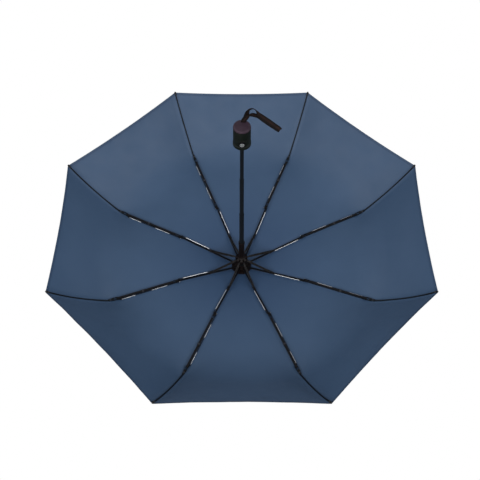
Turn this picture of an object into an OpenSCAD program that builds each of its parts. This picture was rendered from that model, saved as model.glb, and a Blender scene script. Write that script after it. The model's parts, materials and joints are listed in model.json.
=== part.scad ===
// Three-section folding umbrella with eight ribs, a telescopic shaft and a push-button handle.
// Origin: centre of the handle's end face. +Z runs up the shaft to the crown.
// Each rib lies in a vertical plane of its own, in which points are written [r, z]:
// r outwards from the shaft's axis and z upwards. Angles in that plane turn from r towards z.

/* [Canopy] */
// Radius of the circle through the eight rib tips
tip_r = 480; // [470:1:490]
// Height of the rib tips above the handle's end
tip_z = 346; // [340:1:352]
// Thickness of the canopy's plain solid
cloth_t = 0.6; // [0.4:0.1:0.8]

/* [Ribs] */
// Radius of the hinge circles on the crown and on the runner
hinge_r = 14; // [13.8:0.1:14.4]
// Height of the crown's hinge circle
crown_z = 537.5; // [537:0.5:538]
// Slope of the open top rib below the horizontal, in degrees
top_slope = 12.5; // [12:0.1:13]
// Radius at which the stretcher meets the top rib
stretch_r = 89; // [86:1:92]
// Radius of the joint between the top and the middle rib
elbow_r = 180; // [178:1:182]
// Radius of the joint between the middle and the outer rib
knee_r = 333; // [331:1:335]
// Height of the joint between the middle and the outer rib
knee_z = 485; // [484:0.5:486]
// Angle that the folded top rib keeps from the vertical
fold_lean = 3; // [2.5:0.1:3.5]
// Bow of the open outer rod over its chord
rod_bow = 7.5; // [6:0.5:9]
// Radius of the outer rod
rod_radius = 1.5; // [1.2:0.1:1.6]

/* [Shaft] */
// Outer radius of the lower tube
lower_r = 4.1; // [4:0.1:4.2]
// Outer radius of the middle tube
middle_r = 4.85; // [4.8:0.05:4.9]
// Outer radius of the upper tube
upper_r = 5.6; // [5.55:0.05:5.7]
// Wall of the tubes
tube_wall = 0.65; // [0.6:0.01:0.65]
// Length by which each tube still sits in the next one when pulled out
tube_overlap = 20; // [16:1:24]

/* [Handle] */
// Outer radius of the grip
grip_r = 18; // [17.5:0.1:18.4]
// Outer radius of the collar round the grip's mouth
collar_r = 18.8; // [18.6:0.1:19.2]
// Height of the grip's mouth
grip_top = 54; // [52:0.5:55]
// Height of the centre of the push button
button_z = 37; // [36:0.5:38]
// Half of the push button's width
button_r = 5.6; // [4.6:0.1:5.6]
// Width of the strap's ribbon
strap_w = 9.5; // [8:0.5:11]

/* [Hidden] */
$fn = 48;
RIBS = 8;

// Angles and places in the plane of a rib
function polar(len, ang) = len * [cos(ang), sin(ang)];
function bearing(v) = atan2(v[1], v[0]);

crown_hinge = [hinge_r, crown_z];
top_len = (elbow_r - hinge_r) / cos(top_slope);
stretch_len = (stretch_r - hinge_r) / cos(top_slope);
elbow = crown_hinge + polar(top_len, -top_slope);
stretch_pin = crown_hinge + polar(stretch_len, -top_slope);
runner_hinge = [hinge_r, 2 * stretch_pin[1] - crown_z];
knee = [knee_r, knee_z];
tip = [tip_r, tip_z];

// Turns of the parts from open to folded. The stretcher and the top rib are as long as each
// other between their hinges, so the runner stays on the shaft's axis all the way.
fold_turn = 90 - fold_lean - top_slope;
middle_slope = bearing(knee - elbow);
middle_turn = 88 - middle_slope;
chord_slope = bearing(tip - knee);
outer_turn = -93 - chord_slope;
elbow_turn = middle_turn + fold_turn;
knee_turn = middle_turn - outer_turn;

// The link's cranks on the stretcher and on the middle rib are set evenly about the square
// position, so that the link fits them exactly both open and folded
link_crank = 8;
link_open = 270 - elbow_turn / 2;
stretch_open = 270 - fold_turn;
stretch_crank = link_crank * cos(link_open - 180) / cos(stretch_open - 180);
link_in = stretch_pin + polar(stretch_crank, stretch_open - top_slope);
link_out = elbow + polar(link_crank, link_open - top_slope);

// The tension wire's cranks on the top rib and on the outer rib, in the same way
wire_crank = 7.5;
wire_open = 90 + elbow_turn / 2;
knee_open = 90 + knee_turn / 2;
knee_crank = wire_crank * cos(180 - wire_open) / cos(180 - knee_open);
wire_in = elbow + polar(wire_crank, wire_open + middle_slope);
wire_out = knee + polar(knee_crank, knee_open + middle_slope);

// Distances to each side of the rib's plane: the parts lie in layers and pass each other
top_half = 1.5;
cheek_in = 1.8;
cheek_out = 2.4;
head_out = 2.65;
arm_in = 2.7;
arm_out = 3.4;
link_y = 3.6;
link_radius = 0.75;
wire_y = -4.4;
wire_radius = 0.7;
hinge_pin = 0.8;
hinge_bore = 0.86;
small_pin = 0.7;
small_bore = 0.76;
eye_r = 1.6;
top_deep = 1.7;
stretch_deep = 1.5;
middle_deep = 1.9;
sheet_t = 0.6;

// Outer rod: an arc from its socket to the tip
socket = knee + [22, -5];
rod_chord = norm(tip - socket);
rod_half = atan(4 * rod_bow / rod_chord);
rod_arc = rod_chord / 2 / sin(rod_half);
rod_normal = bearing(tip - socket) + 90;
rod_centre = (socket + tip) / 2 - polar(rod_arc - rod_bow, rod_normal);
function rod_at(share, out = 0) = rod_centre + polar(rod_arc + out, rod_normal + rod_half * (1 - 2 * share));

// Heights along the shaft, pulled out
lower_step = 172;
middle_step = 303;
upper_end = 536;
grip_floor = 5;
cap_t = 4.5;
// Ring groove below the button, which ends the plain stretch of the grip
groove_z = 28;
groove_t = 0.8;
groove_deep = 0.4;
// Sideways place of the strap's slot in the end cap
strap_x = -3;
// Plain round stretch of the ferrule cap
ferrule_r = 7.4;

module in_rib(i) { rotate([0, 0, 360 / RIBS * (i - 0.5)]) children(); }
module along(p, ang) { translate([p[0], 0, p[1]]) rotate([0, -ang, 0]) children(); }
module pin(p, radius, from, to) {
    translate([p[0], from, p[1]]) rotate([-90, 0, 0]) cylinder(r = radius, h = to - from);
}
// A bar along the rib from one length to another, with its sides and its depth
module bar(from, to, side_a, side_b, low, high) {
    translate([from, side_a, low]) cube([to - from, side_b - side_a, high - low]);
}
// A wire between two points of the rib's plane, with a round eye at each end
module eyed_wire(a, b, y, radius) {
    len = norm(b - a);
    translate([0, y, 0]) along(a, bearing(b - a)) rotate([0, 90, 0]) cylinder(r = radius, h = len);
    for (end = [a, b]) pin(end, eye_r, y - radius, y + radius);
}
// A flat crank from one point of the rib's plane to another
module crank(a, b, radius, from, to) {
    translate([0, to, 0]) along(a, bearing(b - a)) rotate([90, 0, 0]) linear_extrude(to - from) {
        circle(r = radius);
        translate([norm(b - a), 0]) circle(r = radius);
        translate([0, 0.3 - radius]) square([norm(b - a), 2 * radius - 0.6]);
    }
}

// Pressed channel, open below, with the eye for the crown's pin at its inner end
module top_rib(i) {
    color("#1d1e20") in_rib(i) {
        difference() {
            union() {
                along(crown_hinge, -top_slope) bar(1, top_len, -top_half, top_half, -top_deep, top_deep);
                pin(crown_hinge, 2.3, -top_half, top_half);
                pin(elbow, top_deep, -top_half, top_half);
            }
            along(crown_hinge, -top_slope) {
                bar(8, stretch_len - 4, sheet_t - top_half, top_half - sheet_t, -3, top_deep - sheet_t);
                bar(stretch_len + 4, top_len - 5, sheet_t - top_half, top_half - sheet_t,
                    -3, top_deep - sheet_t);
            }
            pin(crown_hinge, hinge_bore, -3, 3);
        }
        pin(stretch_pin, hinge_pin, 0.05 - head_out, head_out - 0.05);
        for (side = [-head_out, cheek_out + 0.05])
            pin(stretch_pin, 1.3, side, side + head_out - cheek_out - 0.05);
        pin(elbow, hinge_pin, 0.1 - arm_out, head_out - 0.05);
        pin(elbow, 1.3, cheek_out + 0.05, head_out);
        crank(elbow, wire_in, 1.4, -arm_out, -arm_in);
        pin(wire_in, small_pin, wire_y - 1, -arm_in - 0.1);
    }
}

// Channel, open below, whose cheeks straddle the top rib and carry the link's inner pin
module stretcher(i) {
    color("#6d6f73") in_rib(i) {
        difference() {
            union() {
                along(runner_hinge, top_slope) {
                    bar(1, 12, -1.4, 1.4, -stretch_deep, stretch_deep);
                    bar(8, stretch_len, -cheek_out, cheek_out, -stretch_deep, stretch_deep);
                }
                pin(runner_hinge, 2.2, -1.4, 1.4);
                pin(stretch_pin, 2.1, -cheek_out, cheek_out);
                pin(link_in, 1.5, cheek_in, cheek_out);
            }
            along(runner_hinge, top_slope) {
                bar(12, stretch_len - 11, -cheek_in, cheek_in, -3, stretch_deep - sheet_t);
                bar(stretch_len - 11, stretch_len + 5, -cheek_in, cheek_in, -3, 3);
            }
            pin(runner_hinge, hinge_bore, -3, 3);
            pin(stretch_pin, hinge_bore, -3, 3);
        }
        pin(link_in, small_pin, cheek_in + 0.1, link_y + 1);
    }
}

// Bright wire that turns the middle rib. It is pinned to the stretcher; its outer eye lies
// beside the middle rib's crank, which is the open pivot.
module link(i) {
    color("#b9bbbf") in_rib(i) difference() {
        eyed_wire(link_in, link_out, link_y, link_radius);
        pin(link_in, small_bore, 0, 6);
    }
}

// Channel, open above, whose cheeks straddle the top rib and reach inwards to the link
module middle_rib(i) {
    long = norm(knee - elbow);
    color("#1d1e20") in_rib(i) {
        difference() {
            union() {
                along(elbow, middle_slope)
                    bar(-link_crank, long, -cheek_out, cheek_out, -middle_deep, middle_deep);
                pin(link_out, middle_deep, -cheek_out, cheek_out);
                pin(knee, middle_deep, -cheek_out, cheek_out);
            }
            along(elbow, middle_slope) {
                bar(-12, 9, -cheek_in, cheek_in, -4, 4);
                bar(9, long - 6, -cheek_in, cheek_in, sheet_t - middle_deep, 4);
            }
            pin(elbow, hinge_bore, -4, 4);
            pin(knee, hinge_bore, -4, 4);
        }
        pin(link_out, 1.2, cheek_out, cheek_out + 0.15);
        // Clip to which the canopy is sewn, half-way along
        along(elbow, middle_slope) difference() {
            bar(0.55 * long, 0.55 * long + 7, -2.9, 2.9, -2.4, 2.3);
            bar(0.5 * long, 0.7 * long, -cheek_out, cheek_out, -middle_deep, 4);
        }
    }
}

// Bright wire along the middle rib that turns the outer rib. It is pinned to the top rib's
// crank; its outer eye lies beside the outer rib's crank, which is the open pivot.
module tension_wire(i) {
    color("#b9bbbf") in_rib(i) difference() {
        eyed_wire(wire_in, wire_out, wire_y, wire_radius);
        pin(wire_in, small_bore, -7, 0);
    }
}

// Moulded fork round the middle rib's end, the bowed rod in its socket, and the tip's cap
module outer_rib(i) {
    fork_slope = bearing(socket - knee);
    color("#141416") in_rib(i) {
        for (side = [-arm_out, arm_in]) {
            pin(knee, 2.3, side, side + arm_out - arm_in);
            along(knee, fork_slope) bar(0, 10, side, side + arm_out - arm_in, -1.8, 1.8);
        }
        along(knee, fork_slope) {
            bar(9, 14, -arm_out, arm_out, -1.8, 1.8);
            bar(13, 24, -2.2, 2.2, -1.9, 1.9);
        }
        pin(knee, hinge_pin, 0.1 - arm_out, arm_out - 0.1);
        crank(knee, wire_out, 1.4, -arm_out, -arm_in);
        translate([rod_centre[0], 0, rod_centre[1]]) rotate([90, 0, 0])
            rotate([0, 0, rod_normal - rod_half])
                rotate_extrude(angle = 2 * rod_half, $fn = 96) translate([rod_arc, 0]) circle(r = rod_radius);
        along(tip, bearing(rod_at(1) - rod_at(0.9))) rotate([0, 90, 0]) rotate_extrude() polygon([
            [0, -10], [1.7, -10], [1.9, -9], [1.9, -4], [2.3, -3], [2.3, -0.8], [1.6, 0.4], [0, 0.7]]);
    }
}

// Notched ring over the shaft's top, with the eight hinge pins, a disc above the ribs and a
// boss for the ferrule cap
module crown() {
    color("#17171a") {
        difference() {
            union() {
                translate([0, 0, 532.5]) cylinder(r = 17.5, h = 9);
                translate([0, 0, 540.6]) cylinder(r = 28, h = 1.3);
                translate([0, 0, 541]) cylinder(r = 6, h = 14);
            }
            translate([0, 0, 530]) cylinder(r = upper_r + 0.02, h = upper_end - 530);
            for (i = [1:RIBS]) in_rib(i) translate([10.6, -cheek_in, 531]) cube([8, 2 * cheek_in, 9.4]);
        }
        for (i = [1:RIBS]) in_rib(i) pin(crown_hinge, hinge_pin, -2.6, 2.6);
    }
}

// Sleeve that slides on the upper tube, flared to a notched ring with the eight hinge pins
module runner() {
    ring_z = runner_hinge[1];
    color("#1a171c") {
        difference() {
            rotate_extrude() polygon([
                [upper_r + 0.25, 424], [7.2, 424], [7.8, 424.8], [7.8, 431], [7.2, 432], [7.2, 488],
                [8.6, 491], [12.4, 495], [15.2, 497.4], [15.8, 498.6], [15.8, ring_z + 3.5],
                [10.4, ring_z + 3.5], [10.4, ring_z + 7], [upper_r + 0.25, ring_z + 7]]);
            for (i = [1:RIBS]) in_rib(i)
                translate([10.6, -cheek_in, 490]) cube([8, 2 * cheek_in, 30]);
        }
        for (i = [1:RIBS]) in_rib(i) pin(runner_hinge, hinge_pin, -2.6, 2.6);
    }
}

// Stepped cap that holds the canopy's centre down on the crown
module ferrule_cap() {
    color("#141416") difference() {
        rotate_extrude() polygon([
            [0, 544.2], [11, 544.2], [11.4, 545], [11, 546.6], [8, 550.4], [ferrule_r, 551.5],
            [ferrule_r, 560.5], [6.6, 562.2], [3, 563], [0, 563]]);
        translate([0, 0, 543]) cylinder(r = 6.02, h = 12.05);
    }
}

module tube(radius, from, to, shade) {
    color(shade) difference() {
        translate([0, 0, from]) cylinder(r = radius, h = to - from);
        translate([0, 0, from - 1]) cylinder(r = radius - tube_wall, h = to - from + 2);
    }
}
module lower_tube() { tube(lower_r, grip_floor + 8, lower_step + tube_overlap, "#232427"); }
module middle_tube() { tube(middle_r, lower_step, middle_step + tube_overlap, "#232427"); }
module upper_tube() { tube(upper_r, middle_step, upper_end, "#232427"); }

// An upright oval along Y, for the button and its window
module oval(radius, from, to) {
    straight = 4;
    for (side = [-0.5, 0.5])
        translate([0, from, button_z + side * straight]) rotate([-90, 0, 0])
            cylinder(r = radius, h = to - from);
    translate([-radius, from, button_z - straight / 2]) cube([2 * radius, to - from, straight]);
}

// Hollow grip with its collar, an inner sleeve for the lower tube, and the button's window
module grip_shell() {
    color("#161417") difference() {
        rotate_extrude($fn = 96) polygon([
            [lower_r + 0.02, 26], [7.6, 26], [7.6, grip_top - 5], [grip_r - 2.5, grip_top - 5],
            [grip_r - 2.5, grip_floor], [grip_r, grip_floor], [grip_r, groove_z],
            [grip_r - groove_deep, groove_z + groove_t / 2], [grip_r, groove_z + groove_t],
            [grip_r, grip_top - 9],
            [collar_r, grip_top - 8], [collar_r, grip_top - 1.2], [collar_r - 1.2, grip_top],
            [lower_r + 0.02, grip_top]]);
        oval(button_r + 0.3, -20, -12);
    }
}

// Domed cap that closes the grip's end, with the strap's eye near its edge
module end_cap() {
    color("#3d2b38") difference() {
        rotate_extrude($fn = 96) polygon([
            [0, 0], [13.6, 0], [15.8, 0.5], [17.2, 1.7], [17.8, 3.4], [17.8, grip_floor - 0.1],
            [grip_r - 2.6, grip_floor - 0.1], [grip_r - 2.6, grip_floor + 6], [13.4, grip_floor + 6],
            [13.4, cap_t], [0, cap_t]]);
        translate([strap_x, 11, 0]) cube([strap_w + 1, 5, 20], center = true);
    }
}

// Oval button with a flange behind the grip's wall
module push_button() {
    color("#101012") {
        oval(button_r, -19.3, -12.6);
        oval(button_r + 1, -13.7, -12.5);
    }
}

// A round or flat tube swept along points: across holds the direction of its width at each
function unit(v) = v / norm(v);
function tangent(pts, k) = unit(pts[min(k + 1, len(pts) - 1)] - pts[max(k - 1, 0)]);
module swept(pts, across, half_w, half_t, sides) {
    rings = [for (k = [0:len(pts) - 1]) 
        let (t = tangent(pts, k), n = unit(cross(t, across[k])), w = cross(n, t))
        for (j = [0:sides - 1]) let (a = 360 * (j + 0.5) / sides)
            pts[k] + half_w * cos(a) * w + half_t * sin(a) * n];
    last = (len(pts) - 1) * sides;
    polyhedron(rings, concat(
        [[for (j = [0:sides - 1]) j]],
        [for (k = [0:len(pts) - 2]) for (j = [0:sides - 1]) let (m = (j + 1) % sides)
            [k * sides + j, (k + 1) * sides + j, (k + 1) * sides + m, k * sides + m]],
        [[for (j = [sides - 1:-1:0]) last + j]]), convexity = 6);
}

// Coil spring that pushes the button out
module button_spring() {
    turns = 4;
    steps = 12;
    coil_r = 2.6;
    from = -12.1;
    to = -8.2;
    coil = [for (k = [0:turns * steps]) let (a = 360 * k / steps)
        [coil_r * cos(a), from + (to - from) * k / turns / steps, button_z + coil_r * sin(a)]];
    color("#b9bbbf") swept(coil, [for (p = coil) [0, 1, 0]], 0.25, 0.25, 6);
}

// The ribbon's middle and the direction of its width, from the cap's slot along the lower strand
// to the loop's end, and back along the upper strand, which arches edge-on over the lower one
STRAP_LOWER = [
    [[-3, 10, 6], [-1, 0, 0]], [[-3, 10, -1.5], [-1, 0, 0]], [[-4, 10.4, -4.2], [-1, 0, 0]],
    [[-7.5, 11.3, -8.5], [-1, 0, 0]], [[-10.5, 11, -14.5], [-1, 0.08, -0.05]],
    [[-13.5, 9, -21.5], [-0.83, 0.56, 0.01]], [[-19, 3.5, -27.5], [-0.27, 0.96, 0.01]],
    [[-26, -1, -30], [-0.18, 0.98, 0.01]], [[-33, -5.5, -31.5], [-0.54, 0.83, -0.15]],
    [[-42.5, -14.5, -31.5], [-0.57, 0.69, -0.45]], [[-52, -23.5, -31.5], [-0.57, 0.69, -0.45]],
    [[-61.5, -32, -31.5], [-0.57, 0.69, -0.45]], [[-69, -38.5, -31.5], [-0.57, 0.69, -0.45]]];
STRAP_UPPER = [
    [[-72, -41, -32.5], [-0.57, 0.69, -0.45]], [[-70, -38.5, -33.5], [-0.57, 0.69, -0.45]],
    [[-62.5, -31, -33.5], [-0.57, 0.69, -0.45]], [[-53.5, -22, -33.5], [-0.57, 0.69, -0.45]],
    [[-43.5, -13, -34], [-0.57, 0.69, -0.45]], [[-34, -4, -35], [-0.49, 0.87, 0.05]],
    [[-29, 4.5, -36], [-0.19, 0.74, 0.64]], [[-22.5, 11, -35.5], [0, 0.66, 0.75]],
    [[-16.5, 13.5, -32.5], [-0.24, 0.53, 0.81]], [[-11, 13.5, -26.5], [-0.6, 0.52, 0.61]],
    [[-9.5, 14.5, -18], [-0.97, 0.13, 0.2]], [[-7, 13.1, -9.5], [-1, 0, 0]],
    [[-3.8, 12.3, -4.2], [-1, 0, 0]], [[-3, 12, -1.5], [-1, 0, 0]], [[-3, 12, 6], [-1, 0, 0]]];
STRAP = concat(STRAP_LOWER, STRAP_UPPER);

module wrist_strap() {
    color("#2a2226") swept([for (p = STRAP) p[0]], [for (p = STRAP) p[1]], strap_w / 2, 0.75, 8);
}

// Half-way up the cloth over a rib: clear of the crown's disc, the joints and the rod
LINING = concat(
    [[7, 543], [30, 543], [60, 531.8], [stretch_r, 525.6], [elbow_r, elbow[1] + 5], [300, 494],
     [wire_out[0], wire_out[1] + 3.6], [knee_r + 4, knee_z + 5.2], socket + [3, 4]],
    [for (share = [0.2, 0.4, 0.6, 0.8, 0.93]) rod_at(share, rod_radius + 1.2)],
    [rod_at(0.99, 3.2)]);

// Plain closed solid of the eight gores: straight from rib to rib
module canopy() {
    color("#2f4058") rotate([0, 0, 180 / RIBS]) rotate_extrude($fn = RIBS) polygon(concat(
        LINING, [for (k = [len(LINING) - 1:-1:0]) LINING[k] + [0, cloth_t / (k < 9 ? 1 : 0.6)]]));
}

grip_shell();
end_cap();
push_button();
button_spring();
wrist_strap();
lower_tube();
middle_tube();
upper_tube();
runner();
crown();
ferrule_cap();
canopy();
for (i = [1:RIBS]) {
    top_rib(i);
    stretcher(i);
    link(i);
    middle_rib(i);
    tension_wire(i);
    outer_rib(i);
}
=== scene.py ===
"""Looks of the open folding umbrella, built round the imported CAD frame. Metres, in the frame's axes."""

import json
import math

import bpy
from mathutils import Matrix, Vector, noise

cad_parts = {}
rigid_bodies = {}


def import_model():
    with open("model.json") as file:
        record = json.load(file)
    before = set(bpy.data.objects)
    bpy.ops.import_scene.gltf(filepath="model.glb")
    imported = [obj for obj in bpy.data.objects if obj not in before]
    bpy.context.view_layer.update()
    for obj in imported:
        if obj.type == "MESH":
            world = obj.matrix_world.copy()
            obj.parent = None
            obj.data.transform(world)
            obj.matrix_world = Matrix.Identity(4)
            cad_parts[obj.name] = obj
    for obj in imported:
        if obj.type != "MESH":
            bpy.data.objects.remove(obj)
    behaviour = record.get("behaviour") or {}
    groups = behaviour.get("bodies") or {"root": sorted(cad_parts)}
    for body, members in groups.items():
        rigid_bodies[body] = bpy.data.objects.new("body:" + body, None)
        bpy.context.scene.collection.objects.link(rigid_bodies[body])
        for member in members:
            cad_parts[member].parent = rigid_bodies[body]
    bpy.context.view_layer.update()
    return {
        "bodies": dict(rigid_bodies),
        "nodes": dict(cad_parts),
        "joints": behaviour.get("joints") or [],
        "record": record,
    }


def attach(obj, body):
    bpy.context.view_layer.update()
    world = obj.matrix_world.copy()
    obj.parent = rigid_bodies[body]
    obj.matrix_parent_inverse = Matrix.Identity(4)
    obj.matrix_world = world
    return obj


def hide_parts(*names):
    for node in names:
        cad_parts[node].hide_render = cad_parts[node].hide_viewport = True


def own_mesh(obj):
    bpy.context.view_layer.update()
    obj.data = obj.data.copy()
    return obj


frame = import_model()

MM = 0.001
JOINTS = {joint["name"]: joint for joint in frame["joints"]}
NODES = frame["nodes"]
RIBS = sum(body.startswith("top_rib_") for body in frame["bodies"])
STEP = 2 * math.pi / RIBS
UP = Vector((0, 0, 1))


# ---------------------------------------------------------------- places in the planes of the ribs

def outward(rib):
    """The level direction in which a rib points. Ribs count from 1, and rib 2.5 is half-way to rib 3."""
    azimuth = STEP * (rib - 0.5)
    return Vector((math.cos(azimuth), math.sin(azimuth), 0))


def sideways(rib):
    """The level direction across a rib's plane."""
    return UP.cross(outward(rib))


def place(rib, r, z, side=0.0):
    """The point at radius r and height z in a rib's plane, or at a distance to one side of it."""
    return outward(rib) * r + UP * z + sideways(rib) * side


def pivot(joint):
    """Radius and height of a joint of the first rib."""
    x, y, z = JOINTS[joint]["pos_m"]
    return Vector((math.hypot(x, y), z))


STRETCH_PIN = pivot("stretcher_fold_1")
LINK_PIN = pivot("link_fold_1")
ELBOW = pivot("middle_rib_fold_1")
WIRE_PIN = pivot("wire_fold_1")
KNEE = pivot("outer_rib_fold_1")


# ---------------------------------------------------------------- camera, at the photograph's angle

CAMERA_EYE = Vector((0.004, -0.9235, -1.003))
CAMERA_FORWARD = Vector((0, 0.5457, 0.838)).normalized()
CAMERA_UPWARD = Vector((0, 0.838, -0.5457)).normalized()
CAMERA_LENS = 50.88
CAMERA_SENSOR = 36
CAMERA_REACH = 200


def add_camera():
    """Looks up into the canopy from below and in front, with the handle towards the lens."""
    data = bpy.data.cameras.new("camera")
    data.lens = CAMERA_LENS
    data.sensor_width = CAMERA_SENSOR
    data.clip_end = CAMERA_REACH
    camera = bpy.data.objects.new("camera", data)
    rightward = CAMERA_FORWARD.cross(CAMERA_UPWARD)
    turn = Matrix((rightward, CAMERA_UPWARD, -CAMERA_FORWARD)).transposed().to_4x4()
    camera.matrix_world = Matrix.Translation(CAMERA_EYE) @ turn
    bpy.context.scene.collection.objects.link(camera)
    bpy.context.scene.camera = camera


# ---------------------------------------------------------------- material nodes

class Paint:
    """A material with a Principled shader, and short ways to add the nodes in front of it."""

    def __init__(self, name, **sockets):
        self.material = bpy.data.materials.new(name)
        self.material.use_nodes = True
        self.tree = self.material.node_tree
        self.shader = self.tree.nodes["Principled BSDF"]
        for socket, value in sockets.items():
            self.shader.inputs[socket.replace("_", " ")].default_value = value

    def node(self, kind, inputs=(), **settings):
        """Adds a node. Its inputs are numbers, vectors or the outputs of other nodes."""
        made = self.tree.nodes.new("ShaderNode" + kind)
        for setting, value in settings.items():
            setattr(made, setting, value)
        for socket, value in dict(inputs).items():
            if isinstance(value, bpy.types.NodeSocket):
                self.tree.links.new(value, made.inputs[socket])
            else:
                made.inputs[socket].default_value = value
        return made

    def where(self):
        """The place on the piece, in metres."""
        return self.node("TexCoord").outputs["Object"]

    def attribute(self, name):
        """A number that the piece keeps for each of its points."""
        return self.node("Attribute", attribute_name=name).outputs["Fac"]

    def axis_distance(self):
        """Distance from the shaft's axis."""
        split = self.node("SeparateXYZ", {"Vector": self.where()})
        x, y = split.outputs["X"], split.outputs["Y"]
        squares = self.math("ADD", self.math("MULTIPLY", x, x), self.math("MULTIPLY", y, y))
        return self.math("SQRT", squares)

    def within(self, value, low, high, soft):
        """1 where the value lies between low and high and 0 elsewhere, with soft ends."""
        rise = {"Value": value, "From Min": low - soft, "From Max": low + soft}
        fall = {"Value": value, "From Min": high + soft, "From Max": high - soft}
        made = [self.node("MapRange", ends, interpolation_type="SMOOTHSTEP") for ends in (rise, fall)]
        return self.math("MULTIPLY", made[0].outputs["Result"], made[1].outputs["Result"])

    def noise(self, scale, detail=2.0, roughness=0.5):
        """Soft patches, of which scale fit in a metre."""
        inputs = {"Vector": self.where(), "Scale": scale, "Detail": detail, "Roughness": roughness}
        return self.node("TexNoise", inputs).outputs["Fac"]

    def math(self, operation, *values):
        """The result of a sum, a comparison or the like."""
        return self.node("Math", dict(enumerate(values)), operation=operation).outputs[0]

    def ramp(self, fac, *stops):
        """Maps fac through stops of a place from 0 to 1 and a colour or a grey."""
        made = self.node("ValToRGB", {"Fac": fac})
        while len(made.color_ramp.elements) < len(stops):
            made.color_ramp.elements.new(0.5)
        for element, (position, shade) in zip(made.color_ramp.elements, stops):
            element.position = position
            element.color = (*shade, 1) if hasattr(shade, "__len__") else (shade, shade, shade, 1)
        return made.outputs["Color"]

    def mix(self, fac, first, second):
        """The first colour where fac is 0, and the second one where it is 1."""
        made = self.node("Mix", data_type="RGBA")
        for socket, value in zip((0, 6, 7), (fac, first, second)):
            if isinstance(value, bpy.types.NodeSocket):
                self.tree.links.new(value, made.inputs[socket])
            else:
                made.inputs[socket].default_value = value if socket == 0 else (*value, 1)
        return made.outputs[2]

    def bump(self, height, distance, strength=1.0, below=None):
        """A surface normal with a relief of the given height in metres, on top of another one."""
        inputs = {"Height": height, "Distance": distance, "Strength": strength}
        if below is not None:
            inputs["Normal"] = below
        return self.node("Bump", inputs).outputs["Normal"]

    def finish(self, colour, roughness, normal, metallic=None):
        """Puts the outputs of the nodes into the shader."""
        sources = {"Base Color": colour, "Roughness": roughness, "Normal": normal, "Metallic": metallic}
        for socket, source in sources.items():
            if source is not None:
                self.tree.links.new(source, self.shader.inputs[socket])
        return self.material


def moulded_plastic(name, dark, light, rough, shine=0.2, grain=900.0, depth=0.00004):
    """Plastic with a fine spark-eroded grain and faint handling marks."""
    paint = Paint(name, Specular_IOR_Level=shine)
    patches = paint.noise(45, 4, 0.6)
    colour = paint.ramp(patches, (0.3, dark), (0.75, light))
    roughness = paint.ramp(patches, (0.25, rough), (0.8, rough + 0.12))
    return paint.finish(colour, roughness, paint.bump(paint.noise(grain, 3), depth, 0.5))


def painted_steel(name, dark, light, rough):
    """Black enamel over steel, with a slight orange peel and scuffs."""
    paint = Paint(name, Specular_IOR_Level=0.07, Coat_Weight=0.015, Coat_Roughness=0.25)
    scuffs = paint.noise(220, 6, 0.7)
    colour = paint.ramp(scuffs, (0.35, dark), (0.7, light))
    roughness = paint.ramp(paint.noise(60, 3), (0.3, rough), (0.75, rough + 0.14))
    return paint.finish(colour, roughness, paint.bump(paint.noise(700, 2), 0.00002, 0.5))


def plated_steel(name, dark, light, rough):
    """Bare plated metal with fine drawing lines and dull patches."""
    paint = Paint(name, Metallic=1.0)
    patches = paint.noise(160, 4, 0.6)
    colour = paint.ramp(patches, (0.3, dark), (0.7, light))
    roughness = paint.ramp(paint.noise(420, 4, 0.65), (0.3, rough), (0.75, rough + 0.16))
    return paint.finish(colour, roughness, paint.bump(paint.noise(1500, 2), 0.00001, 0.5))


def drawn_wire(name, dark, light, rough):
    """Plated wire, painted bright only in the reaches where its highlights fall and painted black
    elsewhere, as shade.
    """
    paint = Paint(name, Specular_IOR_Level=0.08)
    radius = paint.axis_distance()
    # Painted highlight in the listed reaches, painted shade elsewhere
    bright = [paint.within(radius, low, high, 3 * MM) for low, high in HIGHLIGHT_REACHES]
    mask = bright[0]
    for more in bright[1:]:
        mask = paint.math("MAXIMUM", mask, more)
    patches = paint.noise(160, 4, 0.6)
    colour = paint.mix(mask, WIRE_SHADE_BLACK, paint.ramp(patches, (0.3, dark), (0.7, light)))
    roughness = paint.ramp(paint.noise(420, 4, 0.65), (0.3, rough), (0.75, rough + 0.16))
    return paint.finish(colour, roughness, paint.bump(paint.noise(1500, 2), 0.00001, 0.5), mask)


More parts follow.
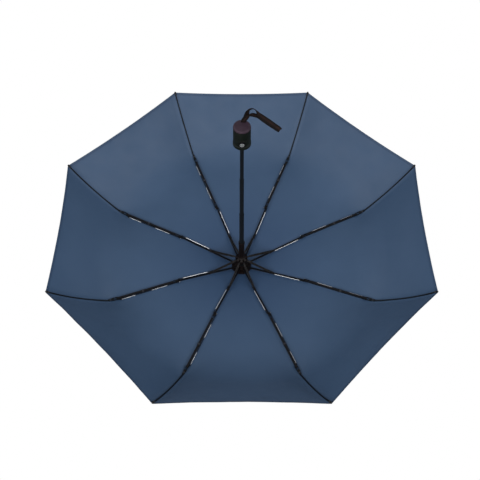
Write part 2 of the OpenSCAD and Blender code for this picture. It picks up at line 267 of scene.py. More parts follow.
def canopy_cloth(name):
    """Navy pongee: a tight plain weave with stitched seams and hem, painted shade near the crown and along
    the ribs' seams, and a darker doubled hem.
    """
    paint = Paint(name, Sheen_Weight=0.02, Sheen_Roughness=0.45, Specular_IOR_Level=0.25)
    from_rib, from_hem = paint.attribute("from_rib"), paint.attribute("from_hem")
    clouds = paint.noise(9, 3, 0.55)
    colour = paint.ramp(clouds, (0.25, NAVY_DARK), (0.78, NAVY_LIGHT))
    slub = paint.noise(650, 2, 0.5)
    colour = paint.mix(paint.math("MULTIPLY", slub, 0.3), colour, NAVY_SLUB)
    # Painted shade: the cloth turns darker towards the crown
    inner = paint.within(paint.axis_distance(), -1, *CROWN_SHADE_REACH)
    colour = paint.mix(paint.math("MULTIPLY", inner, 0.72), colour, NAVY_CROWN_SHADE)
    # Painted shade from the ribs along the seams, and the darker doubled cloth of the hem
    doubled_and_rib_shade = paint.math("MAXIMUM", paint.math("LESS_THAN", from_rib, SEAM_WIDTH),
                         paint.math("LESS_THAN", from_hem, HEM_WIDTH))
    colour = paint.mix(paint.math("MULTIPLY", doubled_and_rib_shade, 0.5), colour, NAVY_DOUBLED_AND_RIB_SHADE)
    beside = paint.math("ABSOLUTE", paint.math("SUBTRACT", from_rib, SEAM_WIDTH * 0.75))
    inside = paint.math("ABSOLUTE", paint.math("SUBTRACT", from_hem, HEM_WIDTH * 0.85))
    on_seam = paint.math("MULTIPLY", paint.math("LESS_THAN", beside, STITCH_WIDTH / 2),
                         dashes(paint, from_hem))
    on_hem = paint.math("MULTIPLY", paint.math("LESS_THAN", inside, STITCH_WIDTH / 2),
                        dashes(paint, paint.attribute("along_hem")))
    stitched = paint.math("MAXIMUM", on_seam, on_hem)
    colour = paint.mix(paint.math("MULTIPLY", stitched, 0.7), colour, NAVY_THREAD)
    roughness = paint.ramp(paint.noise(30, 3), (0.3, 0.5), (0.8, 0.62))
    weave = paint.math("MULTIPLY", threads(paint, "X"), threads(paint, "Y"))
    normal = paint.bump(weave, 0.00006, 0.35)
    normal = paint.bump(stitched, 0.0002, 0.6, below=normal)
    return paint.finish(colour, roughness, normal)


def dashes(paint, along):
    """1 on each stitch and 0 between two stitches, by the distance along a seam."""
    return paint.math("LESS_THAN", paint.math("FRACT", paint.math("DIVIDE", along, STITCH_PITCH)), 0.7)


def threads(paint, direction, scale=520.0):
    """The rise and fall of the threads that lie side by side along an axis."""
    inputs = {"Vector": paint.where(), "Scale": scale, "Distortion": 0.6, "Detail": 1.0}
    return paint.node("TexWave", inputs, wave_type="BANDS", bands_direction=direction).outputs["Fac"]


def webbing(name, dark, light):
    """Flat woven strap: ribs across its width, and darker along both edges."""
    paint = Paint(name, Sheen_Weight=0.01, Sheen_Roughness=0.4, Specular_IOR_Level=0.06)
    along, across = paint.attribute("along"), paint.attribute("across")
    picks = paint.math("SINE", paint.math("MULTIPLY", along, 2 * math.pi / WEB_PICK))
    cords = paint.math("SINE", paint.math("MULTIPLY", across, 2 * math.pi / WEB_CORD))
    weave = paint.math("MULTIPLY", paint.math("ADD", picks, 1), paint.math("ADD", cords, 1.4))
    patches = paint.noise(160, 4)
    colour = paint.ramp(patches, (0.3, dark), (0.75, light))
    edge = paint.math("GREATER_THAN", paint.math("ABSOLUTE", across), STRAP_WIDTH * 0.22)
    colour = paint.mix(paint.math("MULTIPLY", edge, 0.9), colour, WEB_EDGE)
    colour = paint.mix(paint.math("MULTIPLY", weave, 0.12), colour, WEB_RIDGE)
    roughness = paint.ramp(patches, (0.2, 0.6), (0.8, 0.75))
    return paint.finish(colour, roughness, paint.bump(weave, 0.00012, 0.5))


def spun_thread(name, dark, light):
    """Polyester sewing thread, with the twist of its strands."""
    paint = Paint(name, Sheen_Weight=0.05, Specular_IOR_Level=0.2)
    twist = threads(paint, "DIAGONAL", 900.0)
    colour = paint.mix(twist, dark, light)
    roughness = paint.ramp(twist, (0.0, 0.55), (1.0, 0.75))
    return paint.finish(colour, roughness, paint.bump(twist, 0.00006, 0.6))


def floor_paint(name):
    """Seamless studio paper."""
    paint = Paint(name)
    patches = paint.noise(0.8, 3)
    colour = paint.ramp(patches, (0.2, 0.80), (0.9, 0.84))
    roughness = paint.ramp(patches, (0.2, 0.7), (0.9, 0.8))
    return paint.finish(colour, roughness, paint.bump(paint.noise(60, 4), 0.0002, 0.2))


NAVY_DARK, NAVY_LIGHT = (0.0212, 0.0445, 0.086), (0.0264, 0.0520, 0.098)
# Slub threads, and painted shade on the cloth round the crown
NAVY_SLUB, NAVY_CROWN_SHADE = (0.014, 0.035, 0.075), (0.011, 0.030, 0.070)
# Painted shade along the seams with the darker doubled hem, and the stitching thread
NAVY_DOUBLED_AND_RIB_SHADE, NAVY_THREAD = (0.010, 0.026, 0.058), (0.008, 0.016, 0.036)
# Distance from the axis at which the painted shade round the crown ends, and half of its soft edge
CROWN_SHADE_REACH = (0.16, 0.11)
SEAM_WIDTH = 2.6 * MM
HEM_WIDTH = 7 * MM
STITCH_WIDTH = 0.7 * MM
THREAD_R = 0.32 * MM
STITCH_PITCH = 2.8 * MM
# Painted shade: the black of a link or a tension wire outside those reaches
WIRE_SHADE_BLACK = (0.003, 0.003, 0.004)
# Distances from the axis between which a link or a tension wire is painted bright, where its highlights
# fall
HIGHLIGHT_REACHES = ((0.095, 0.160), (0.207, 0.245), (0.290, 0.322))
STRAP_WIDTH = 9.5 * MM
STRAP_THICK = 1.5 * MM
WEB_PICK = 0.9 * MM
WEB_CORD = 1.2 * MM
WEB_EDGE, WEB_RIDGE = (0.002, 0.002, 0.002), (0.008, 0.005, 0.006)

PAINTS = {
    "canopy_cloth": canopy_cloth("pongee_navy"),
    "strap_webbing": webbing(
        "webbing_brown_black", (0.006, 0.003, 0.003), (0.016, 0.008, 0.006)),
    "grip_plastic": moulded_plastic(
        "plastic_grip", (0.002, 0.003, 0.002), (0.004, 0.006, 0.004), 0.46, 0.12),
    "plum_plastic": moulded_plastic(
        "plastic_plum", (0.016, 0.009, 0.015), (0.026, 0.015, 0.024), 0.46, 0.14),
    "button_plastic": moulded_plastic(
        "plastic_button", (0.002, 0.002, 0.003), (0.005, 0.005, 0.006), 0.2, 0.3),
    "black_plastic": moulded_plastic(
        "plastic_black", (0.002, 0.001, 0.001), (0.006, 0.004, 0.004), 0.42, 0.08),
    "rod_plastic": moulded_plastic(
        "fibre_rod", (0.002, 0.003, 0.004), (0.005, 0.006, 0.008), 0.42, 0.1),
    "black_steel": painted_steel("steel_black", (0.003, 0.004, 0.005), (0.007, 0.008, 0.010), 0.34),
    "rib_steel": painted_steel("steel_rib", (0.003, 0.003, 0.004), (0.007, 0.007, 0.008), 0.4),
    "gunmetal_steel": painted_steel(
        "steel_gunmetal", (0.003, 0.003, 0.004), (0.024, 0.023, 0.023), 0.3),
    "bright_steel": drawn_wire("steel_bright", (0.52, 0.52, 0.53), (0.78, 0.78, 0.79), 0.24),
    "spring_steel": plated_steel("steel_spring", (0.35, 0.35, 0.36), (0.55, 0.55, 0.56), 0.3),
}
EXTRA = {
    "thread": spun_thread("thread_black", (0.006, 0.007, 0.010), (0.02, 0.022, 0.03)),
    "pale_print": moulded_plastic("print_pale", (0.26, 0.28, 0.28), (0.36, 0.38, 0.38), 0.5),
    "floor": floor_paint("studio_paper"),
}


# ---------------------------------------------------------------- meshes

def add_mesh(name, points, faces, material, body):
    """A piece made of points and faces, which rides on a body and may take its finish from a slot."""
    data = bpy.data.meshes.new(name)
    data.from_pydata([tuple(p) for p in points], [], faces)
    data.materials.append(material)
    data.shade_smooth()
    piece = bpy.data.objects.new(name, data)
    bpy.context.scene.collection.objects.link(piece)
    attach(piece, body)
    return piece


def store(piece, name, values):
    """Keeps one number for each point of a piece, for its material to read."""
    piece.data.attributes.new(name, "FLOAT", "POINT").data.foreach_set("value", values)


def on_circle(radius, k, steps, z=0.0):
    """The point at step k of a circle round the Z axis, at height z."""
    angle = 2 * math.pi * k / steps
    return Vector((radius * math.cos(angle), radius * math.sin(angle), z))


def tube_faces(rings, sides, closed):
    """Faces of a tube of rings of points, which is closed to a loop or has two end faces."""
    faces = [
        (k * sides + j, k * sides + (j + 1) % sides,
         (k + 1) % rings * sides + (j + 1) % sides, (k + 1) % rings * sides + j)
        for k in range(rings if closed else rings - 1) for j in range(sides)
    ]
    if not closed:
        faces += [tuple(reversed(range(sides))), tuple(range((rings - 1) * sides, rings * sides))]
    return faces


def sweep(path, across, half_width, half_thick, sides, closed=False, power=0.55):
    """Points and faces of a round or flat tube along a path, and how far each point is to one side."""
    points, offsets = [], []
    count = len(path)
    for k, centre in enumerate(path):
        after = path[(k + 1) % count] if closed else path[min(k + 1, count - 1)]
        before = path[k - 1] if closed else path[max(k - 1, 0)]
        tangent = (after - before).normalized()
        thin = tangent.cross(across[k]).normalized()
        wide = thin.cross(tangent)
        for j in range(sides):
            angle = 2 * math.pi * (j + 0.5) / sides
            x, y = squircle(angle, power)
            points.append(centre + wide * half_width * x + thin * half_thick * y)
            offsets.append(half_width * x)
    return points, tube_faces(count, sides, closed), offsets


def squircle(angle, power):
    """A rounded square's outline, from -1 to 1, or a circle's with power 1."""
    return [math.copysign(abs(v) ** power, v) for v in (math.cos(angle), math.sin(angle))]


def turned(profile, base, axis, sides=24):
    """Points and faces of a turned solid. Its profile starts and ends on the axis, which it climbs."""
    turn = axis.to_track_quat("Z", "Y")
    points = [base + turn @ on_circle(r, j, sides, h) for r, h in profile[1:-1] for j in range(sides)]
    rings = len(profile) - 2
    faces = tube_faces(rings, sides, False)[:-2]
    points += [base + turn @ Vector((0, 0, h)) for h in (profile[0][1], profile[-1][1])]
    foot, top = rings * sides, (rings - 1) * sides
    for j in range(sides):
        faces.append((foot, (j + 1) % sides, j))
        faces.append((foot + 1, top + j, top + (j + 1) % sides))
    return points, faces


def ring(centre, axis, radius, thick, steps=64, sides=12):
    """Points and faces of a round wire bent to a ring."""
    turn = axis.to_track_quat("Z", "Y")
    path = [centre + turn @ on_circle(radius, k, steps) for k in range(steps)]
    points, faces, _ = sweep(path, [axis] * steps, thick, thick, sides, closed=True, power=1)
    return points, faces


def joined(*shapes):
    """The points and faces of several shapes as those of one."""
    points, faces = [], []
    for shape_points, shape_faces in shapes:
        faces += [tuple(len(points) + v for v in face) for face in shape_faces]
        points += shape_points
    return points, faces


# ---------------------------------------------------------------- wrist strap

# The ribbon's middle and the direction of its width, from the cap's slot along the lower strand to
# the loop's end and back along the upper strand, as in part.scad. The width keeps one direction at
# the cap and another along the loop's flat end.
AT_CAP, ALONG_LOOP = (-1, 0, 0), (-0.57, 0.69, -0.45)
STRAP_ROUTE = (
    ((-0.003, 0.01, 0.006), AT_CAP), ((-0.003, 0.01, -0.0015), AT_CAP),
    ((-0.004, 0.0104, -0.0042), AT_CAP), ((-0.0075, 0.0113, -0.0085), AT_CAP),
    ((-0.0105, 0.011, -0.0145), (-1, 0.08, -0.05)), ((-0.0135, 0.009, -0.0215), (-0.83, 0.56, 0.01)),
    ((-0.019, 0.0035, -0.0275), (-0.27, 0.96, 0.01)), ((-0.026, -0.001, -0.03), (-0.18, 0.98, 0.01)),
    ((-0.033, -0.0055, -0.0315), (-0.54, 0.83, -0.15)), ((-0.0425, -0.0145, -0.0315), ALONG_LOOP),
    ((-0.052, -0.0235, -0.0315), ALONG_LOOP), ((-0.0615, -0.032, -0.0315), ALONG_LOOP),
    ((-0.069, -0.0385, -0.0315), ALONG_LOOP), ((-0.072, -0.041, -0.0325), ALONG_LOOP),
    ((-0.07, -0.0385, -0.0335), ALONG_LOOP), ((-0.0625, -0.031, -0.0335), ALONG_LOOP),
    ((-0.0535, -0.022, -0.0335), ALONG_LOOP), ((-0.0435, -0.013, -0.034), ALONG_LOOP),
    ((-0.034, -0.004, -0.035), (-0.49, 0.87, 0.05)), ((-0.029, 0.0045, -0.036), (-0.19, 0.74, 0.64)),
    ((-0.0225, 0.011, -0.0355), (0, 0.66, 0.75)), ((-0.0165, 0.0135, -0.0325), (-0.24, 0.53, 0.81)),
    ((-0.011, 0.0135, -0.0265), (-0.6, 0.52, 0.61)), ((-0.0095, 0.0145, -0.018), (-0.97, 0.13, 0.2)),
    ((-0.007, 0.0131, -0.0095), AT_CAP), ((-0.0038, 0.0123, -0.0042), AT_CAP),
    ((-0.003, 0.012, -0.0015), AT_CAP), ((-0.003, 0.012, 0.006), AT_CAP),
)


def softened(path, parts):
    """A smooth curve through the points of a path, as Catmull-Rom, with parts steps between two points."""
    curve = []
    for k in range(len(path) - 1):
        a, b, c, d = (path[min(max(k + n, 0), len(path) - 1)] for n in (-1, 0, 1, 2))
        for step in range(parts):
            t = step / parts
            curve.append(0.5 * (2 * b + (c - a) * t + (2 * a - 5 * b + 4 * c - d) * t ** 2
                                + (3 * b - a - 3 * c + d) * t ** 3))
    return curve + [path[-1].copy()]


def add_strap():
    """The ribbon along its route, which goes back into the cap. Returns its length."""
    route = [Vector(point) for point, _ in STRAP_ROUTE]
    path = softened(route, 5)
    across = [v.normalized() for v in softened([Vector(width) for _, width in STRAP_ROUTE], 5)]
    sides = 16
    points, faces, offsets = sweep(path, across, STRAP_WIDTH / 2, STRAP_THICK / 2, sides)
    strap = add_mesh("strap_ribbon", points, faces, PAINTS["strap_webbing"], "handle")
    reached = [0.0]
    for a, b in zip(path, path[1:]):
        reached.append(reached[-1] + (b - a).length)
    store(strap, "along", [length for length in reached for _ in range(sides)])
    store(strap, "across", offsets)
    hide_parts("wrist_strap")
    return reached[-1]


# ---------------------------------------------------------------- canopy

# Thickness of the cloth, and what the doubled cloth adds at a seam and at the hem
CLOTH = 0.4 * MM
SEAM_RISE = 0.5 * MM
HEM_RISE = 0.35 * MM
# How far the hem curves in between two ribs, and the height of the cloth's wrinkles
SCALLOP = 4.0 * MM
WRINKLE = 0.7 * MM
# Reach over which the cloth's corners are softened at a rib, and what is added between two ribs
SOFTENING = 14 * MM
SLACK = 50 * MM
# Places on either side of a point that the softening takes into account
SOFT_STEPS = 4
# Depth of the sag half-way between two ribs, by share of the way from the crown to the edge
SAG = ((0.0, 0.0), (0.32, 4.0 * MM), (0.62, 9.0 * MM), (0.8, 7.0 * MM), (1.0, 3.0 * MM))
# Radius of the round patch of cloth over the gores' points
ROSETTE_R = 30 * MM
# Cells between a rib's seam and the middle of the gore
ACROSS_CELLS = 14


def lining_line():
    """The CAD canopy's under side over the first rib, as radius and height from the crown outwards."""
    lowest = {}
    for vertex in NODES["canopy"].data.vertices:
        r = vertex.co.dot(outward(1))
        if math.hypot(vertex.co.x, vertex.co.y) - r < 0.01 * MM:
            key = round(r, 5)
            lowest[key] = min(lowest.get(key, math.inf), vertex.co.z)
    return [Vector(pair) for pair in sorted(lowest.items())]


LINING = lining_line()
LENGTHS = [0.0]
for inner, outer in zip(LINING, LINING[1:]):
    LENGTHS.append(LENGTHS[-1] + (outer - inner).length)
CLOTH_LENGTH = LENGTHS[-1]


def on_line(values, at, length):
    """Interpolates values, which belong to the rising places in at, with straight lines."""
    k = 1
    while k < len(at) - 1 and at[k] < length:
        k += 1
    share = (length - at[k - 1]) / (at[k] - at[k - 1])
    return values[k - 1] + (values[k] - values[k - 1]) * share


def lining(length, softening=SOFTENING):
    """Radius and height of the cloth's line at a length from the crown, with its corners softened."""
    reach = min(softening, length, CLOTH_LENGTH - length)
    total = Vector((0, 0))
    for step in range(-SOFT_STEPS, SOFT_STEPS + 1):
        total += on_line(LINING, LENGTHS, length + reach * step / SOFT_STEPS)
    return total / (2 * SOFT_STEPS + 1)


def station(radius):
    """Length from the crown at which the cloth over a rib reaches a radius."""
    low, high = 0.0, CLOTH_LENGTH
    for _ in range(40):
        middle = (low + high) / 2
        low, high = (middle, high) if lining(middle)[0] < radius else (low, middle)
    return low


def sag(share):
    """How far the cloth hangs between two ribs, at a share of its length from the crown."""
    places, depths = zip(*SAG)
    k = next(k for k in range(1, len(places)) if share <= places[k] or k == len(places) - 1)
    t = (share - places[k - 1]) / (places[k] - places[k - 1])
    return depths[k - 1] + (depths[k] - depths[k - 1]) * t * t * (3 - 2 * t)


def cloth_at(rib, length, across):
    """A point of the cloth from a rib, across 0, to the next one, across 1."""
    bow = 4 * across * (1 - across)
    share = length / CLOTH_LENGTH
    length = length - SCALLOP * bow * share ** 4
    softening = SOFTENING + SLACK * bow
    r, z = lining(length, softening)
    point = place(rib, r, z).lerp(place(rib + 1, r, z), across)
    before = lining(max(length - 2 * MM, 0), softening)
    after = lining(min(length + 2 * MM, CLOTH_LENGTH), softening)
    run, drop = after - before
    inward = (outward(rib + 0.5) * drop - UP * run * math.cos(STEP / 2)).normalized()
    ripple = noise.noise(point * 14) + 0.5 * noise.noise(point * 37)
    return point + inward * (sag(share) * bow + WRINKLE * ripple * min(1, 3 * bow) * share)


def cloth_normal(rib, length, across):
    """The direction that the cloth's under side faces."""
    further, nearer = min(length + MM, CLOTH_LENGTH), max(length - MM, 0)
    along = cloth_at(rib, further, across) - cloth_at(rib, nearer, across)
    over = cloth_at(rib, length, min(across + 0.004, 1)) - cloth_at(rib, length, max(across - 0.004, 0))
    return over.cross(along).normalized()


def cloth_rows(start, end, cells):
    """Lengths from the crown of a strip's rows of points, with closer ones at the hem."""
    lengths = [start + (end - start) * k / cells for k in range(cells + 1)]
    if end > CLOTH_LENGTH - MM:
        lengths[-1:] = [end - HEM_WIDTH - 0.4 * MM, end - HEM_WIDTH, end - HEM_WIDTH / 2, end]
        lengths.sort()
    return lengths


def cloth_columns(edge):
    """Distances of a row's points from the rib, with closer ones at the seam."""
    inner = SEAM_WIDTH + 0.5 * MM
    return [0, SEAM_WIDTH, inner] + [inner + (edge - inner) * (j + 1) / ACROSS_CELLS
                                     for j in range(ACROSS_CELLS)]


def sheet_faces(rows, columns, order):
    """Faces of a thin sheet: its upper side, its lower side and the rim between them."""
    count = rows * columns
    faces = []
    for k in range(rows - 1):
        for j in range(columns - 1):
            a, b = k * columns + j, k * columns + j + 1
            quad = (a, b, b + columns, a + columns)[::order]
            faces.append(quad)
            faces.append(tuple(count + v for v in quad[::-1]))
    rim = list(range(columns)) + [k * columns + columns - 1 for k in range(1, rows)]
    rim += [count - 1 - j for j in range(1, columns)] + [k * columns for k in range(rows - 2, 0, -1)]
    faces += [(a, count + a, count + b, b)[::order] for a, b in zip(rim, rim[1:] + rim[:1])]
    return faces


def half_gore(name, body, rib, side, start, end, cells):
    """The cloth over one section of a rib, on one side of it as far as the middle of the gore."""
    lengths = cloth_rows(start, end, cells)
    first = rib if side > 0 else rib - 1
    upper, lower, smooth, from_rib, from_hem, widths = [], [], [], [], [], []
    for k, length in enumerate(lengths):
        chord = 2 * lining(length)[0] * math.sin(STEP / 2)
        widths.append(chord / 2)
        distances = cloth_columns(chord / 2)
        for j, distance in enumerate(distances):
            across = distance / chord if side > 0 else 1 - distance / chord
            point = cloth_at(first, length, across)
            down = cloth_normal(first, length, across)
            extra = SEAM_RISE * (distance <= SEAM_WIDTH) + HEM_RISE * (CLOTH_LENGTH - length <= HEM_WIDTH)
            upper.append(point)
            lower.append(point + down * (CLOTH + extra))
            on_border = j == len(distances) - 1 or k in (0, len(lengths) - 1)
            smooth.append(down if on_border else Vector((0, 0, 0)))
            from_rib.append(distance)
            from_hem.append(CLOTH_LENGTH - length)
    faces = sheet_faces(len(lengths), len(distances), -side)
    piece = add_mesh(name, upper + lower, faces, PAINTS["canopy_cloth"], body)
    store(piece, "from_rib", from_rib * 2)
    store(piece, "from_hem", from_hem * 2)
    store(piece, "along_hem", from_rib * 2)
    piece.data.normals_split_custom_set_from_vertices([-n for n in smooth] + smooth)
    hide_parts("canopy")
    area = sum((widths[k] + widths[k + 1]) / 2 * (lengths[k + 1] - lengths[k])
               for k in range(len(lengths) - 1))
    over_rib = 0 if side > 0 else 1
    middle = (start + end) / 2
    anchor = cloth_at(first, middle, over_rib)
    line = cloth_at(first, end, over_rib) - cloth_at(first, start, over_rib)
    flatten = cloth_at(first, middle, 0.5) - anchor
    flatten -= line * flatten.dot(line) / line.length_squared
    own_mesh(piece)
    return area


def add_canopy():
    """Eight gores, cut at elbows, knees and middles so that they fold with the ribs. Returns their area."""
    crown, elbow, knee = station(ROSETTE_R * 0.8), station(ELBOW[0]), station(KNEE[0])
    sections = (("inner", "top_rib", crown, elbow, 18), ("middle", "middle_rib", elbow, knee, 16),
                ("outer", "outer_rib", knee, CLOTH_LENGTH, 20))
    total = 0
    for rib in range(1, RIBS + 1):
        for label, part, start, end, cells in sections:
            for side, hand in ((1, "a"), (-1, "b")):
                name = f"cloth_{label}_{rib}{hand}"
                total += half_gore(name, f"{part}_{rib}", rib, side, start, end, cells)
    return total


def add_rosette():
    """Round patch over the gores' points, between the cloth and the ferrule's flange. Returns its area."""
    inner, outer = LINING[0][0], ROSETTE_R
    steps, sides = 10, 48
    lift = 0.9 * MM
    radii = [inner + (outer - inner) * k / steps for k in range(steps + 1)]
    points, faces = [], []
    for rise in (lift, lift + CLOTH):
        for radius in radii:
            z = on_line([p[1] for p in LINING], [p[0] for p in LINING], radius)
            points += [on_circle(radius, j, sides, z + rise) for j in range(sides)]
    rows = steps + 1
    under = tube_faces(rows, sides, False)[:-2]
    faces += under + [tuple(rows * sides + v for v in reversed(face)) for face in under]
    for j in range(sides):
        m = (j + 1) % sides
        rim, upper_rim = steps * sides, (rows + steps) * sides
        faces.append((rim + j, upper_rim + j, upper_rim + m, rim + m)[::-1])
        faces.append((j, m, rows * sides + m, rows * sides + j)[::-1])
    rosette = add_mesh("cloth_rosette", points, faces, PAINTS["canopy_cloth"], "head")
    for name in ("from_rib", "along_hem"):
        store(rosette, name, [1.0] * len(points))
    store(rosette, "from_hem", [outer - math.hypot(p[0], p[1]) + HEM_WIDTH * 0.7 for p in points])
    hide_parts("canopy")
    return math.pi * (outer ** 2 - inner ** 2)


# ---------------------------------------------------------------- small parts

# Distances from the rib's plane to the outer faces of the pins and cranks, as in part.scad
HEAD_OUT, ARM_OUT, LINK_OUT, WIRE_OUT = 2.65 * MM, 3.4 * MM, 4.6 * MM, 5.4 * MM
# The button's height, its face's place and its spring's outer and inner end, along Y
BUTTON_Z = 37 * MM
BUTTON_FACE = -19.3 * MM
SPRING_ENDS = (-12.1 * MM, -8.2 * MM)
# Slopes of the middle rib, of the outer rib's fork and of its tip's cap, and the tip, as in part.scad
MIDDLE_SLOPE = math.atan2(KNEE[1] - ELBOW[1], KNEE[0] - ELBOW[0])
FORK_SLOPE = math.atan2(-5, 22)
TIP = Vector((0.480, 0.346))
TIP_SLOPE = math.radians(-55.4)
# Outline of a rivet's head, as radius and height
RIVET_HEAD = [(r * MM, h * MM) for r, h in (
    (0, -0.3), (1.55, -0.3), (1.6, 0), (1.45, 0.2), (1.05, 0.36), (0.5, 0.45), (0, 0.48))]


def rivet(rib, pin, side):
    """A rivet's head on the outer face of a joint, at a distance to one side of the rib's plane."""
    return turned(RIVET_HEAD, place(rib, pin[0], pin[1], side), sideways(rib) * math.copysign(1, side), 16)


def add_rivets(rib):
    """The heads of a rib's rivets, on the body that each rivet is fixed in."""
    heads = {
        "top_rib": (("black_steel", (STRETCH_PIN, HEAD_OUT), (STRETCH_PIN, -HEAD_OUT), (ELBOW, HEAD_OUT),
                     (ELBOW, -ARM_OUT)),
                    ("spring_steel", (WIRE_PIN, -WIRE_OUT))),
        "stretcher": (("black_steel", (LINK_PIN, LINK_OUT)),),
        "outer_rib": (("black_steel", (KNEE, ARM_OUT), (KNEE, -ARM_OUT)),),
    }
    for part, groups in heads.items():
        for paint, *pins in groups:
            points, faces = joined(*[rivet(rib, pin, side) for pin, side in pins])
            add_mesh(f"rivets_{part}_{paint}_{rib}", points, faces, PAINTS[paint], f"{part}_{rib}")


def add_tie(name, body, rib, start, slope, span, half_wide, half_deep, turns, power):
    """Thread wound round a rib along a span from a point of its plane, where the cloth is tied to it."""
    steps = 20
    path = []
    for k in range(turns * steps + 1):
        angle = 2 * math.pi * k / steps
        across, rise = squircle(angle, power)
        reach = span * k / turns / steps
        r = start[0] + reach * math.cos(slope) - rise * half_deep * math.sin(slope)
        z = start[1] + reach * math.sin(slope) + rise * half_deep * math.cos(slope)
        path.append(place(rib, r, z, across * half_wide))
    axis = outward(rib) * math.cos(slope) + UP * math.sin(slope)
    points, faces, _ = sweep(path, [axis] * len(path), THREAD_R, THREAD_R, 6, power=1)
    add_mesh(name, points, faces, EXTRA["thread"], body)


def on_rib(start, slope, reach):
    """Radius and height of the place at a distance along a rib's slope from a point of its plane."""
    return start + Vector((math.cos(slope), math.sin(slope))) * reach


def add_ties(rib):
    """The cloth's threads at a middle rib's clip, at the rod's socket and at the tip's cap."""
    clip = on_rib(ELBOW, MIDDLE_SLOPE, 0.55 * (KNEE - ELBOW).length + 1.2 * MM)
    socket = on_rib(KNEE, FORK_SLOPE, 16 * MM)
    cap = on_rib(TIP, TIP_SLOPE, -8.4 * MM)
    ties = (("clip", "middle_rib", clip, MIDDLE_SLOPE, 4.6 * MM, 3.2 * MM, 2.7 * MM, 7, 0.6),
            ("socket", "outer_rib", socket, FORK_SLOPE, 4 * MM, 2.5 * MM, 2.2 * MM, 6, 0.6),
            ("tip", "outer_rib", cap, TIP_SLOPE, 3.6 * MM, 2.2 * MM, 2.2 * MM, 6, 1))
    for label, part, *shape in ties:
        add_tie(f"tie_{label}_{rib}", f"{part}_{rib}", rib, *shape)


def add_rings():
    """Rolled mouths of the tubes, and a washer under the ferrule's nose."""
    rings = (("middle_mouth", "middle_shaft", 0.172, 4.85, 0.4, "black_steel"),
             ("upper_mouth", "head", 0.303, 5.6, 0.42, "black_steel"),
             ("ferrule_washer", "head", 0.5514, 7.6, 0.4, "spring_steel"))
    for name, body, z, radius, thick, paint in rings:
        points, faces = ring(Vector((0, 0, z)), UP, radius * MM, thick * MM)
        add_mesh(name, points, faces, PAINTS[paint], body)


def add_button_spring():
    """Coil behind the button, riding on the button."""
    turns, steps, sides = 4, 20, 10
    coil_r, wire_r = 2.6 * MM, 0.25 * MM
    outer, inner = SPRING_ENDS
    path = []
    for k in range(turns * steps + 1):
        angle = 2 * math.pi * k / steps
        along = outer + (inner - outer) * k / (turns * steps)
        path.append(Vector((coil_r * math.cos(angle), along, BUTTON_Z + coil_r * math.sin(angle))))
    points, faces, _ = sweep(path, [Vector((0, 1, 0))] * len(path), wire_r, wire_r, sides, power=1)
    spring = add_mesh("return_spring", points, faces, PAINTS["spring_steel"], "button")
    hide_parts("button_spring")
    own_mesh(spring)


def add_button_mark():
    """A plain pale ring round a dot."""
    face = Vector((0, BUTTON_FACE, BUTTON_Z))
    outwards = Vector((0, -1, 0))
    profile = ((0, -0.3), (1.3, -0.3), (1.3, 0.15), (1.0, 0.3), (0, 0.35))
    dot = turned([(r * MM, h * MM) for r, h in profile], face, outwards)
    points, faces = joined(ring(face, outwards, 3.9 * MM, 0.42 * MM, 48), dot)
    add_mesh("button_mark", points, faces, EXTRA["pale_print"], "button")


def add_small_parts():
    """Everything too small to be a CAD node."""
    for rib in range(1, RIBS + 1):
        add_rivets(rib)
        add_ties(rib)
    add_rings()
    add_button_spring()
    add_button_mark()


# ---------------------------------------------------------------- studio

AMBIENT = 0.12
AMBIENT_COLOUR = (0.93, 0.96, 1, 1)
FLOOR_Z = -2.2
FLOOR_HALF = 60.0
AIM = Vector((0, 0, 0.45))
SOFTBOX_WIDTH = 1.6
SOFTBOX_DISTANCE = 2.3
# The direction in which each softbox stands, and its power in watts
SOFTBOXES = (
    ((0.10, -0.80, -0.60), 38),
    ((-0.80, -0.35, -0.50), 37),
    ((0.80, -0.35, -0.50), 30),
    ((0.90, 0.25, -0.35), 6),
)
# Soft light from above: its direction, its strength and the angle that it fills
SKY_DIRECTION = (0.25, -0.35, 1.0)
SKY_STRENGTH = 2.4
SKY_ANGLE = math.radians(70)


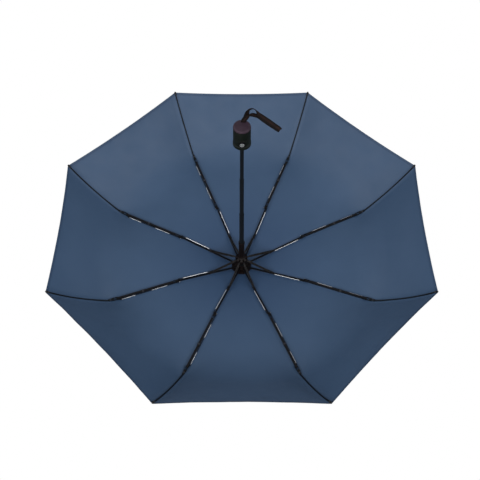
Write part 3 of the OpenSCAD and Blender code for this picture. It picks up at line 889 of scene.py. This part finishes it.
def add_world():
    """A white backdrop to look at, which lights the scene more softly than it shows."""
    world = bpy.data.worlds.new("studio")
    world.use_nodes = True
    tree = world.node_tree
    shown, lit = tree.nodes["Background"], tree.nodes.new("ShaderNodeBackground")
    shown.inputs["Color"].default_value = (1, 1, 1, 1)
    lit.inputs["Color"].default_value = AMBIENT_COLOUR
    lit.inputs["Strength"].default_value = AMBIENT
    mix = tree.nodes.new("ShaderNodeMixShader")
    path = tree.nodes.new("ShaderNodeLightPath")
    tree.links.new(path.outputs["Is Camera Ray"], mix.inputs[0])
    tree.links.new(lit.outputs[0], mix.inputs[1])
    tree.links.new(shown.outputs[0], mix.inputs[2])
    tree.links.new(mix.outputs[0], tree.nodes["World Output"].inputs["Surface"])
    bpy.context.scene.world = world


def add_softboxes():
    """Square lamps at one distance round the canopy, which all face its middle."""
    for k, (direction, power) in enumerate(SOFTBOXES):
        data = bpy.data.lights.new(f"softbox_{k}", "AREA")
        data.size, data.energy = SOFTBOX_WIDTH, power
        light = bpy.data.objects.new(data.name, data)
        away = Vector(direction).normalized()
        turn = away.to_track_quat("Z", "Y").to_matrix().to_4x4()
        light.matrix_world = Matrix.Translation(AIM + away * SOFTBOX_DISTANCE) @ turn
        bpy.context.scene.collection.objects.link(light)


def add_sky():
    """Wide soft light on the floor and the canopy's top."""
    data = bpy.data.lights.new("sky", "SUN")
    data.energy, data.angle = SKY_STRENGTH, SKY_ANGLE
    sky = bpy.data.objects.new("sky", data)
    sky.rotation_euler = Vector(SKY_DIRECTION).to_track_quat("Z", "Y").to_euler()
    bpy.context.scene.collection.objects.link(sky)


def add_floor():
    """A plain level floor, far wider than the view."""
    corners = [(x * FLOOR_HALF, y * FLOOR_HALF, FLOOR_Z) for x, y in ((-1, -1), (1, -1), (1, 1), (-1, 1))]
    data = bpy.data.meshes.new("floor")
    data.from_pydata(corners, [], [(0, 1, 2, 3)])
    data.materials.append(EXTRA["floor"])
    floor = bpy.data.objects.new("floor", data)
    bpy.context.scene.collection.objects.link(floor)


def add_studio():
    """Backdrop, lamps and floor, with colours shown as they are."""
    bpy.context.scene.view_settings.view_transform = "Standard"
    add_world()
    add_softboxes()
    add_sky()
    add_floor()


def dress_frame():
    """Gives each CAD node that stays on show the material of its slot."""
    slots = {part["node"]: part["material_slot"] for part in frame["record"]["subparts"]}
    for name, node in NODES.items():
        node.data.materials.clear()
        node.data.materials.append(PAINTS[slots[name]])


add_camera()
strap_length = add_strap()
dress_frame()
cloth_area = add_canopy() + add_rosette()
add_small_parts()
add_studio()

print("strap length", strap_length, "cloth area", cloth_area)
